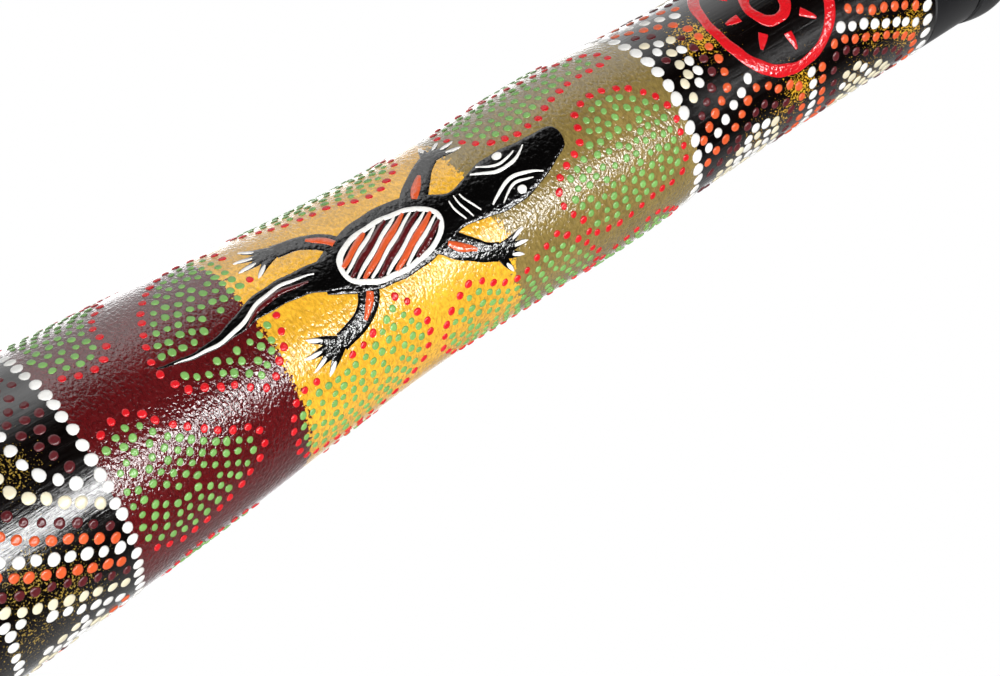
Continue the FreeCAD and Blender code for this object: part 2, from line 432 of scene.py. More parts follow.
def stroke(points, closed=False, fine=2):
    """Lay one brush stroke flat, as a round-ended ridge, and give its points and faces.

    The first two columns come back as mm along and degrees around, the third as mm of height."""
    centre = float(np.mean([point[0] for point in points]))
    scale = float(radius_at(centre))
    curve = bpy.data.curves.new("stroke", "CURVE")
    curve.dimensions = "3D"
    curve.twist_mode = "Z_UP"
    curve.bevel_depth = 1.0
    curve.bevel_resolution = fine
    curve.use_fill_caps = not closed
    curve.resolution_u = STROKE_PARTS
    spline = curve.splines.new("NURBS")
    spline.points.add(len(points) - 1)
    for spot, (along, around, half_width) in zip(spline.points, points):
        spot.co = (math.radians(around) * scale, along, 0, 1)
        spot.radius = half_width
    spline.order_u = 3
    spline.use_endpoint_u = not closed
    spline.use_cyclic_u = closed
    drawn = bpy.data.objects.new("stroke", curve)
    bpy.context.scene.collection.objects.link(drawn)
    select_only(drawn)
    bpy.ops.object.convert(target="MESH")
    drawn = bpy.context.object
    spots = np.array([vertex.co for vertex in drawn.data.vertices])
    faces = [list(face.vertices) for face in drawn.data.polygons]
    bpy.data.objects.remove(drawn)
    sideways, along = spots[:, 0].copy(), spots[:, 1].copy()
    sideways += HAND_SHAKE * np.sin(0.8 * along + 0.3 * sideways)
    along += HAND_SHAKE * np.sin(0.9 * spots[:, 0] + 0.4 * spots[:, 1] + 1)
    flat = np.stack([along, np.degrees(sideways / scale), spots[:, 2]], axis=1)
    return flat, faces


def painted_strokes(name, strokes, material, lift=0.0):
    """One piece holding brush strokes: a full film in the middle, rounding off at its edges."""
    paint = bpy.context.scene.didgeridoo_paint
    film = paint.film / MM
    spots = []
    faces = []
    for flat, shape in strokes:
        first = sum(len(group) for group in spots)
        full = lift + film * (1 - np.exp(-flat[:, 2] / STROKE_EDGE))
        sunk = lift * 0.5 - 0.1
        height = np.where(flat[:, 2] > 0.01, full, sunk)
        spots.append(on_tube(flat[:, 0], flat[:, 1], height))
        faces.extend([[corner + first for corner in face] for face in shape])
    piece = mesh_piece(name, np.vstack(spots), faces, material)
    select_only(piece)
    bpy.ops.object.mode_set(mode="EDIT")
    bpy.ops.mesh.select_all(action="SELECT")
    bpy.ops.mesh.normals_make_consistent(inside=False)
    bpy.ops.object.mode_set(mode="OBJECT")
    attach(piece, "root")
    return piece


# Dots

DOT_SIZES = {"white": 3.1, "cream": 3.0, "orange": 2.7, "maroon": 2.6, "green": 2.0, "red": 2.1}
DOT_SPACING = {"white": 4.2, "cream": 4.1, "orange": 4.0, "maroon": 4.1, "green": 2.9, "red": 3.8}
SMOOTH_DOTS = ("white", "cream")

# How close two dots may come, as a share of touching: as a rule, in a tight ring, and in loose filling
CLOSE = 0.92
CLOSE_RING = 0.8
LOOSE = 1.18


class DotField:
    """The dots placed so far, and where paint already lies, so that none lands on another."""

    # Painted spots are kept in cubes of this many mm
    cell = 6.0

    def __init__(self, seed):
        """Start with a bare tube."""
        self.chance = random.Random(seed)
        self.taken = {}
        self.dots = []
        self.limits = (BELL_MOUTH + 3, NECK_BAND - 1)

    def home(self, spot):
        """The cube that a spot lies in."""
        return tuple(int(math.floor(c / self.cell)) for c in spot)

    def nearby(self, spot):
        """The painted spots in a spot's own cube and in those about it."""
        middle = self.home(spot)
        for step in itertools.product((-1, 0, 1), repeat=3):
            yield from self.taken.get(tuple(a + b for a, b in zip(middle, step)), ())

    def block(self, along, around, reach):
        """Mark a round patch as painted."""
        spot = tuple(float(c) / MM for c in on_tube(along, around, 0))
        self.taken.setdefault(self.home(spot), []).append((spot, reach))

    def dab(self, colour, along, around, size, give=CLOSE):
        """Put down one dot unless it would land on paint that is there already."""
        if not self.limits[0] < along < self.limits[1]:
            return
        spot = tuple(float(c) / MM for c in on_tube(along, around, 0))
        for other, reach in self.nearby(spot):
            if math.dist(spot, other) < (reach + size / 2) * give:
                return
        self.block(along, around, size / 2)
        self.dots.append((colour, float(along), float(around), size))

    def row(self, colour, points, closed=False, spacing=None, slip=0.25):
        """A row of dots along a smooth line, each a little off its place and size."""
        for along, around in through(points, closed, spacing or DOT_SPACING[colour]):
            along += self.chance.uniform(-slip, slip)
            around += turn_for(self.chance.uniform(-slip, slip), along)
            self.dab(colour, along, around, DOT_SIZES[colour] * self.chance.uniform(0.9, 1.1))

    def fill(self, colours, outline, spacing, slip=0.35):
        """Fill a closed outline with rows of dots that lean a little."""
        flat, scale = flattened(outline, 1.5)
        low = flat.min(axis=0)
        high = flat.max(axis=0)
        lean = self.chance.uniform(-0.5, 0.5)
        turned = np.array([[math.cos(lean), -math.sin(lean)], [math.sin(lean), math.cos(lean)]])
        middle = (low + high) / 2
        reach = float(np.hypot(*(high - low)) / 2) + spacing
        apart = spacing * 0.87
        lines = int(reach / apart) + 1
        for line in range(-lines, lines + 1):
            offset = 0.5 * spacing if line % 2 else 0.0
            for number in range(-lines - 1, lines + 2):
                place = middle + turned @ np.array([number * spacing + offset, line * apart])
                place += [self.chance.uniform(-slip, slip), self.chance.uniform(-slip, slip)]
                if not inside(place, flat):
                    continue
                colour = self.chance.choice(colours)
                size = DOT_SIZES[colour] * self.chance.uniform(0.88, 1.12)
                self.dab(colour, place[0], math.degrees(place[1] / scale), size)


def flattened(outline, step):
    """A closed outline as flat points in mm, and the radius that it was unrolled by."""
    edge = through(outline, True, step)
    scale = float(radius_at(edge[:, 0].mean()))
    return np.stack([edge[:, 0], np.radians(edge[:, 1]) * scale], axis=1), scale


def inner_rows(field, outline, colour, first, spacing):
    """Rows of dots that follow a closed outline inwards until they meet."""
    flat, scale = flattened(outline, 1.0)
    ahead = np.roll(flat, -1, axis=0) - np.roll(flat, 1, axis=0)
    ahead /= np.hypot(*ahead.T)[:, None]
    area = np.sum(flat[:, 0] * np.roll(flat[:, 1], -1) - flat[:, 1] * np.roll(flat[:, 0], -1))
    inward = np.stack([-ahead[:, 1], ahead[:, 0]], axis=1) * math.copysign(1, area)
    for number in range(9):
        offset = first + number * spacing * 0.95
        last = None
        for place in flat + inward * offset:
            if not inside(place, flat) or nearest(place, flat) < offset - 0.3:
                continue
            if last is not None and math.dist(place, last) < spacing:
                continue
            last = place
            slip = [field.chance.uniform(-0.18, 0.18) for _ in range(2)]
            size = DOT_SIZES[colour] * field.chance.uniform(0.86, 1.12)
            around = math.degrees((place[1] + slip[1]) / scale)
            field.dab(colour, place[0] + slip[0], around, size, LOOSE)


def inside(place, edge):
    """Whether a flat point lies inside a closed outline."""
    two = np.roll(edge, -1, axis=0)
    crosses = (edge[:, 1] > place[1]) != (two[:, 1] > place[1])
    span = np.where(crosses, two[:, 1] - edge[:, 1], 1.0)
    meets = edge[:, 0] + (place[1] - edge[:, 1]) / span * (two[:, 0] - edge[:, 0])
    return bool(np.count_nonzero(crosses & (meets > place[0])) % 2)


def nearest(place, edge):
    """How far a flat point is from an outline."""
    return float(np.min(np.hypot(*(edge - place).T)))


# Islands on the top panel: red outline, green inside
ISLANDS = [
    [(-190, -42), (-182, -37), (-173, -32), (-167, -38), (-166, -50), (-163, -62), (-158, -76),
     (-170, -88), (-190, -80)],
    [(-161, -22), (-157, -39), (-152, -53), (-146, -65), (-138, -74), (-129, -72), (-128, -56),
     (-128, -40), (-128, -25), (-129, -10), (-132, 4), (-139.5, 14), (-145, 8), (-151, 2), (-159, -6)],
    [(-190, 5), (-184, -4), (-173, -8.5), (-167, 3), (-156, 18), (-147, 28), (-147, 39), (-156, 50),
     (-169, 57), (-179, 53), (-190, 35)],
    [(-137, 35), (-133, 27), (-118, 25), (-110.5, 22.5), (-104, 12), (-99, 11.5), (-94.5, 27),
     (-93, 37), (-95, 50), (-98, 60), (-106, 70), (-117, 73), (-129, 70), (-136, 62), (-137.5, 50)],
    [(-88, 43), (-84.5, 35), (-78, 28.5), (-71, 37), (-65, 43), (-58, 38), (-51, 31), (-45, 41),
     (-40, 55), (-37.5, 65), (-42, 78), (-60, 86), (-80, 80), (-89, 62)],
    [(-119, -80), (-109, -61), (-97, -56.5), (-88, -47.5), (-79, -53), (-73, -69), (-76, -88),
     (-95, -98), (-113, -95)],
    [(-60, -64), (-57, -45), (-51, -33.5), (-40, -32), (-31, -40), (-20.5, -44.5), (-10, -44),
     (-9, -52), (-15, -65), (-28, -70), (-40, -77), (-55, -78)],
    [(-46, 10), (-42, 1), (-34, -7), (-29.5, -22), (-22, -28), (-13.5, -22), (-6, -3), (-5.5, 23),
     (-8, 42), (-17, 44), (-30, 48), (-40, 44), (-42, 33), (-46, 18)],
    [(-38, 78), (-26, 66), (-18, 61), (-12, 67), (-8, 82), (-18, 98), (-34, 96)],
]

# Arches on the neck band, from their middle out to one side; each is mirrored about its own middle line
NECK_FRONT = -17.0
NECK_ARCHES = [
    (NECK_FRONT, "maroon", [(12, -17), (12, -3), (9, 6), (3, 17.5)]),
    (NECK_FRONT, "orange", [(16.3, -17), (16, -5), (14, 10), (7, 21), (1, 32)]),
    (NECK_FRONT, "white", [(21, 13), (13, 24), (2.5, 39)]),
    (72.0, "orange", [(37.5, 72), (37, 46), (36, 35), (30, 31), (25, 22.5), (20, 23), (14, 35),
                      (8.5, 41), (1.5, 49)]),
    (72.0, "maroon", [(33, 72), (32.5, 46), (28, 41), (22, 34), (17, 43), (9, 53), (3, 62)]),
    (72.0, "orange", [(45.5, 72), (45.5, 31), (52.5, 24), (61.5, 32), (69, 39.5), (76.5, 48.5),
                      (80.5, 58), (82, 72)]),
    (72.0, "maroon", [(49.5, 72), (49.5, 38), (54, 32), (61, 43), (69, 51), (75, 60), (77, 72)]),
    (NECK_FRONT, "white", [(55, 16.5), (64.5, 25), (74, 35), (81, 43)]),
    (NECK_FRONT, "orange", [(59.5, 8.5), (67, 17.5), (77, 26), (81.5, 32)]),
    (NECK_FRONT, "maroon", [(62, 0), (69, 9), (76, 16), (81.5, 22)]),
    (NECK_FRONT, "cream", [(64, -8), (71, 1), (78, 8), (82, 13)]),
    (NECK_FRONT, "maroon", [(66.5, -17), (74, -8), (81.5, 3)]),
    (NECK_FRONT, "orange", [(74, -17), (80, -9)]),
]
NECK_CLUSTER = [(2, -41), (5.5, -37), (9, -35), (3, -32), (6, -26.5), (9, -25), (5.3, -17), (8.4, -16),
                (5.5, -9), (8.7, -8), (3, -5), (7, -1), (3, 5)]
NECK_CORES = [
    [(8, 72), (7, 62), (12, 55), (20, 43), (26, 46), (29.5, 56), (30, 72), (29.5, 88), (26, 98),
     (20, 101), (12, 89), (7, 82)],
    [(53, 72), (52, 43), (57, 45), (64, 54), (71, 62), (73, 72), (71, 82), (64, 90), (57, 99), (52, 101)],
]

# Arches below the top panel, from their middle out to one side
SHOULDER_FRONT = -30.0
SHOULDER_ARCHES = [
    ("white", [(-200.5, -30), (-200, -10), (-194, 2.5), (-188.8, 9.5)]),
    ("cream", [(-206, -30), (-206.5, -7), (-201, 3), (-189.6, 17)]),
    ("maroon", [(-211, -30), (-211, -4), (-206, 8), (-197, 17), (-189.5, 27)]),
    ("orange", [(-215, -30), (-215, 0), (-209, 13.5), (-200, 21.5), (-189.5, 33)]),
    ("white", [(-219, -30), (-219, 6), (-213, 18), (-201, 28.5), (-189.5, 39)]),
    ("orange", [(-223, -30), (-223, 10), (-216.5, 21.5), (-205, 32), (-190, 45.5)]),
    ("maroon", [(-227, -30), (-227, 15), (-218, 28), (-207, 36), (-189.5, 52)]),
    ("cream", [(-231, -30), (-231, 20), (-222, 31), (-211, 41.5), (-190, 58.5)]),
    ("white", [(-235, -30), (-235, 22), (-226, 35), (-212.5, 45.5), (-199, 59), (-192, 68)]),
]

# The middle of the arches below the top panel and what fills the gap between them
SHOULDER_CORE = [(-189.5, -45), (-189.5, 0), (-194, -2), (-198, -18), (-198, -42), (-194, -58)]
SHOULDER_CLUSTER = [(-196, 60), (-204, 63), (-214, 66), (-216, 78), (-205, 84), (-196, 82)]

# Colours of nested arches, from the smallest out
ARCH_COLOURS = ["maroon", "white", "cream", "maroon", "orange", "white", "orange", "maroon", "cream"]

# Closed rings of white dots: where along, spacing, size
DOT_RINGS = [
    (EDGES[0][2], 4.25, 3.7),
    (EDGES[1][2], 3.75, 3.1),
    *((edge, 4.25, 3.5) for kind, top, edge in EDGES[2:-1]),
    (NECK_BAND - 3.2, 5.0, 3.6),
    (BELL_MOUTH + 9, 5.0, 4.0),
]

# Straight rows about the long band at the bell, in mm from its middle
BELT = [(-9, "orange"), (-4.5, "maroon"), (0, "white"), (4.5, "maroon"), (9, "orange")]

# Middles of the islands on the back of the top panel
BACK_ISLANDS = [
    (-160, 96), (-118, 112), (-62, 126), (-20, 140), (-150, 150), (-100, 168), (-48, 190),
    (-165, 205), (-118, 222), (-70, 236), (-25, 215), (-150, 246), (-30, 262),
]

# Where flicked flecks gather: along, around, reach in mm, how thickly, how golden
FLECK_PATCHES = [
    (15, -27, 9, 1.2, 1.0),
    (37, 38, 8, 1.2, 1.0),
    (31, 50, 8, 0.9, 1.0),
    (78, 46, 9, 1.1, 1.0),
    (66, 34, 9, 0.8, 0.8),
    (20, 62, 13, 0.75, 0.8),
    (60, 62, 13, 0.75, 0.8),
    (-203, -12, 8, 0.9, 0.2),
    (-212, 28, 12, 0.9, 0.2),
    (-204, 45, 13, 0.9, 0.2),
    (-218, 52, 12, 0.8, 0.2),
    (-200, 30, 8, 0.7, 0.2),
]


def mirrored(points, middle):
    """A half arch and its mirror image about a line along the tube, as one run of points."""
    if abs(points[0][1] - middle) > 1:
        return [points, [(along, 2 * middle - around) for along, around in points]]
    back = [(along, 2 * middle - around) for along, around in points[:0:-1]]
    return [back + points]


def arch_points(edge, way, middle, reach, spread):
    """Half an arch standing on a band's edge: reach in mm along, spread in mm to each side."""
    points = []
    for turn in (0, 25, 50, 70, 88):
        angle = math.radians(turn)
        along = edge + way * reach * math.cos(angle) ** 0.8
        points.append((along, middle + turn_for(spread * math.sin(angle), along)))
    return points


def arches(field, edge, way, middle, room, spread):
    """Nested arches from a band's edge, up (way 1) or down (-1), until they fill the room they have."""
    reach = 6.0
    for colour in itertools.cycle(ARCH_COLOURS):
        if reach > room:
            return
        sideways = spread * (reach / room) ** 0.85
        points = arch_points(edge + way * 2.5, way, middle, reach, sideways)
        for run in mirrored(points, middle):
            field.row(colour, run)
        reach += DOT_SPACING[colour] + 0.5


def wobbly_island(chance, along, around, reach):
    """An uneven closed outline about a middle, with its reach in mm."""
    lean = [chance.uniform(0, FULL_TURN) for _ in range(3)]
    points = []
    for step in range(12):
        angle = FULL_TURN * step / 12
        size = reach * (
            1
            + 0.26 * math.cos(2 * angle + lean[0])
            + 0.14 * math.cos(3 * angle + lean[1])
            + 0.06 * math.cos(5 * angle + lean[2])
        )
        points.append((along + size * math.cos(angle), around + turn_for(size * math.sin(angle), along)))
    return points


def island(field, outline):
    """A red outline with green dots inside it."""
    field.row("red", outline, closed=True, slip=0.3)
    inner_rows(field, outline, "green", 2.9, DOT_SPACING["green"])


def lay_out_dots(seed, strokes):
    """Place every dot on the tube: rings first, then the rows, then the islands."""
    field = DotField(seed)
    for points in strokes:
        centre = through([point[:2] for point in points], False, 1.6)
        widths = np.interp(
            np.linspace(0, 1, len(centre)), np.linspace(0, 1, len(points)), [point[2] for point in points]
        )
        for (along, around), half_width in zip(centre, widths):
            field.block(along, around, half_width + 0.1)
    dot_rings(field)
    field.limits = (0.5, NECK_BAND - 1)
    neck_rows(field)
    field.limits = (EDGES[2][2] + 2, EDGES[2][1] - 1)
    shoulder_rows(field)
    field.limits = (EDGES[1][2] + 1, EDGES[1][1] - 3)
    for outline in ISLANDS:
        island(field, outline)
    lower_bands(field)
    field.limits = (EDGES[1][2] + 2, EDGES[1][1] - 4)
    for along, around in BACK_ISLANDS:
        island(field, wobbly_island(field.chance, along, around, 13))
    lower_panels(field)
    return field.dots


def dot_rings(field):
    """The closed rings of white dots at the borders and at both ends."""
    for along, spacing, size in DOT_RINGS:
        count = round(FULL_TURN * float(radius_at(along)) / spacing)
        for number in range(count):
            place = along + field.chance.uniform(-0.35, 0.35)
            turn = 360 * number / count + field.chance.uniform(-0.8, 0.8)
            field.dab("white", place, turn, size * field.chance.uniform(0.93, 1.08), CLOSE_RING)


def lower_bands(field):
    """Hanging and standing arches on every black band below the shoulder, and the belt at the bell."""
    fans = 4
    for kind, top, bottom in EDGES[4:]:
        if kind != "black":
            continue
        field.limits = (bottom + 2, top - 2)
        room = min(top - bottom, 130) * 0.62
        spread = math.pi * float(radius_at((top + bottom) / 2)) / fans
        low = max(bottom, BELL_MOUTH + 9)
        for edge, way, shift in ((top - 2, -1, 0), (low + 2, 1, 0.5)):
            for number in range(fans):
                arches(field, edge, way, 20 + (number + shift) * 360 / fans, room, spread)
        if top - bottom > 200:
            middle = bottom + 0.5 * (top - bottom)
            for shift, colour in BELT:
                field.row(colour, [(middle + shift, turn) for turn in range(-180, 181, 20)])


def lower_panels(field):
    """Islands in staggered rows on the two lower panels."""
    lines = 4
    islands = 6
    for kind, top, bottom in EDGES:
        if kind in ("middle_panel", "low_panel"):
            field.limits = (bottom + 3, top - 3)
            for line in range(lines):
                along = top - (line + 0.5) * (top - bottom) / lines
                for number in range(islands):
                    middle = (number + 0.5 * (line % 2)) * 360 / islands
                    reach = field.chance.uniform(14, 18)
                    island(field, wobbly_island(field.chance, along, middle, reach))


def neck_rows(field):
    """The rows of the neck band, about the red ring and away from it."""
    for turn in range(0, 360, 6):
        angle = math.radians(turn)
        for share in (1.0, 0.75, 0.5, 0.25):
            reach = RING_REACH * share
            along = RING_CENTRE[0] + reach * math.cos(angle)
            aside = turn_for(RING_SHARE_AROUND * reach * math.sin(angle), along)
            field.block(along, RING_CENTRE[1] + aside, 1.6)
    for number, (along, around) in enumerate(NECK_CLUSTER):
        field.dab(("cream", "white")[number % 2], along, around, 2.9, 0.85)
    for along, around in ((3, -24), (3, -15)):
        field.dab("maroon", along, around, DOT_SIZES["maroon"])
    for turn in (0, 180):
        for middle, colour, points in NECK_ARCHES:
            for run in mirrored(points, middle):
                field.row(colour, turned_by(run, turn))
        for core in NECK_CORES:
            field.fill(["white", "cream", "cream"], turned_by(core, turn), 3.9)
    for place in range(33, 112, 9):
        for turn in (0, 180):
            field.dab("white", 41.5, place + turn, 3.0)
    arches(field, edge=1.0, way=1, middle=163, room=80, spread=46)


def shoulder_rows(field):
    """The rows of the black band below the top panel."""
    bottom = EDGES[2][2] + 2
    for turn in (0, 180):
        field.fill(["maroon"], turned_by(SHOULDER_CORE, turn), 4.2)
        for colour, points in SHOULDER_ARCHES:
            for run in mirrored(points, SHOULDER_FRONT):
                field.row(colour, turned_by(run, turn))
        arches(field, bottom, way=1, middle=60 + turn, room=70, spread=45)
        arches(field, bottom, way=1, middle=-30 + turn, room=50, spread=40)
        field.fill(["cream", "white"], turned_by(SHOULDER_CLUSTER, turn), 4.2)
        field.row("white", turned_by([(-221, 38), (-221, 68)], turn), spacing=4.0)


def dot_model(smooth, segments):
    """One dot, one in radius and height, sunk below the surface, with its points and faces."""
    if smooth:
        line = [(0, 0.92), (0.45, 1.0), (0.8, 0.72), (1.0, 0.0), (1.0, -0.4)]
    else:
        line = [(0, 0.6), (0.3, 1.0), (0.65, 0.9), (0.9, 0.45), (1.0, 0.0), (1.0, -0.4)]
    model = spun("dot_model", line, segments)
    spots = np.array([vertex.co for vertex in model.data.vertices])
    faces = [list(face.vertices) for face in model.data.polygons]
    bpy.data.objects.remove(model)
    return spots, faces


def dot_piece(name, dots, colour, material, segments, seed):
    """Copy the dot model to every place of one colour and lay the copies on the tube."""
    chance = np.random.default_rng(seed)
    paint = bpy.context.scene.didgeridoo_paint
    smooth = colour in SMOOTH_DOTS
    model, shape = dot_model(smooth, segments)
    count = len(dots)
    along = np.array([dot[1] for dot in dots])[:, None]
    around = np.array([dot[2] for dot in dots])[:, None]
    radius = np.array([dot[3] / 2 for dot in dots])[:, None]
    angle = np.arctan2(model[:, 1], model[:, 0])[None, :]
    turn = chance.uniform(0, FULL_TURN, (count, 2, 1))
    oval = chance.uniform(0.02, 0.09, (count, 1))
    bumpy = chance.uniform(0.0, 0.05, (count, 1))
    wobble = 1 + oval * np.cos(2 * (angle + turn[:, 0])) + bumpy * np.cos(3 * (angle + turn[:, 1]))
    across = model[None, :, 0] * radius * wobble
    up = model[None, :, 1] * radius * wobble
    # Thin, smooth dots lie lower than thick, peaked ones, and dots under 1.2 mm in radius lower in proportion
    full = paint.dot_height / MM * (0.75 if smooth else 0.9) * np.minimum(1, radius / 1.2)
    height = model[None, :, 2] * full * chance.uniform(0.85, 1.15, (count, 1))
    place = along + up
    spots = on_tube(place, around + np.degrees(across / radius_at(place)), height)
    stride = len(model)
    faces = [[corner + stride * number for corner in face] for number in range(count) for face in shape]
    piece = mesh_piece(name, spots.reshape(-1, 3), faces, material)
    tag_points(piece, "dab", np.repeat(chance.uniform(0, 1, count), stride))
    # Each point's share of the dot's height, which the dot material reads for the painted shade at each dot's
    # foot
    tag_points(piece, "rise", np.tile(np.clip(model[:, 2], 0, 1), count))
    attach(piece, "root")
    return piece


# Materials. These colours are not settings, because they belong to one finish each.
BRISTLE_BROWN = "#0c0605"
DULL_FLECK = "#857439"
BORE_BROWN = "#1c1512"
STROKE_BLACK = "#040303"
STRIPE_MAROON = "#5d1518"


def acrylic_dot_material(colour, code):
    """Acrylic dotting paint dropped from a stick: thick, glossy, a shade uneven from dot to dot."""
    material, tree = new_material("acrylic_dot_" + colour)
    dab = shader_node(tree, "ShaderNodeAttribute", attribute_name="dab")
    rise = shader_node(tree, "ShaderNodeAttribute", attribute_name="rise")
    place = shader_node(tree, "ShaderNodeTexCoord")
    grain = shader_node(
        tree, "ShaderNodeTexNoise", {"Vector": place.outputs["Object"], "Scale": per_size(1.1), "Detail": 2.0}
    )
    base = linear(code)
    dark = shaded(base, 0.78)
    pale = shaded(base, 1.08, 0.012)
    shade = shader_node(
        tree, "ShaderNodeMath", {0: dab.outputs["Fac"], 1: grain.outputs["Fac"]}, operation="MULTIPLY"
    )
    tone = shader_node(
        tree, "ShaderNodeMix", {0: shade.outputs[0], 6: dark, 7: pale}, data_type="RGBA"
    )
    # Painted shade: each dot's colour darkens towards its foot, where its sides slope down to the ground
    edge = shader_node(tree, "ShaderNodeMapRange", {0: rise.outputs["Fac"], 3: 0.82, 4: 1.0, 2: 0.35})
    body = shader_node(
        tree, "ShaderNodeMix", {0: 1.0, 6: tone.outputs[2], 7: edge.outputs[0]}, data_type="RGBA",
        blend_type="MULTIPLY",
    )
    bump = shader_node(
        tree, "ShaderNodeBump", {"Height": grain.outputs["Fac"], "Strength": 0.35, "Distance": 0.12 * MM}
    )
    gloss = shader_node(
        tree, "ShaderNodeBsdfPrincipled",
        {"Base Color": body.outputs[2], "Roughness": 0.24, "IOR": 1.49, "Normal": bump.outputs[0]},
    )
    finish_material(tree, gloss)
    return material


def brushed_acrylic_material(name, code, depth):
    """Acrylic laid on with a brush under varnish: bristle lines along the tube, darker to this depth."""
    material, tree = new_material(name)
    place = shader_node(tree, "ShaderNodeTexCoord")
    stretch = shader_node(
        tree, "ShaderNodeMapping", {"Vector": place.outputs["Object"], "Scale": (1.0, 1.0, 0.12)}
    )
    bristles = shader_node(
        tree, "ShaderNodeTexNoise", {"Vector": stretch.outputs[0], "Scale": per_size(0.7), "Detail": 3.0}
    )
    peel = shader_node(
        tree, "ShaderNodeTexNoise",
        {"Vector": place.outputs["Object"], "Scale": per_size(1.25), "Detail": 2.0},
    )
    base = linear(code)
    dark = shaded(base, depth)
    tone = shader_node(
        tree, "ShaderNodeMix", {0: bristles.outputs["Fac"], 6: dark, 7: base}, data_type="RGBA"
    )
    height = shader_node(
        tree, "ShaderNodeMath", {0: bristles.outputs["Fac"], 1: 0.15, 2: peel.outputs["Fac"]},
        operation="MULTIPLY_ADD",
    )
    bump = shader_node(
        tree, "ShaderNodeBump", {"Height": height.outputs[0], "Strength": 1.0, "Distance": 0.3 * MM}
    )
    gloss = shader_node(
        tree, "ShaderNodeBsdfPrincipled",
        {"Base Color": tone.outputs[2], "Roughness": 0.22, "IOR": 1.5, "Normal": bump.outputs[0],
         "Coat Weight": 1.0, "Coat Roughness": 0.08, "Coat Normal": bump.outputs[0]},
    )
    finish_material(tree, gloss)
    return material


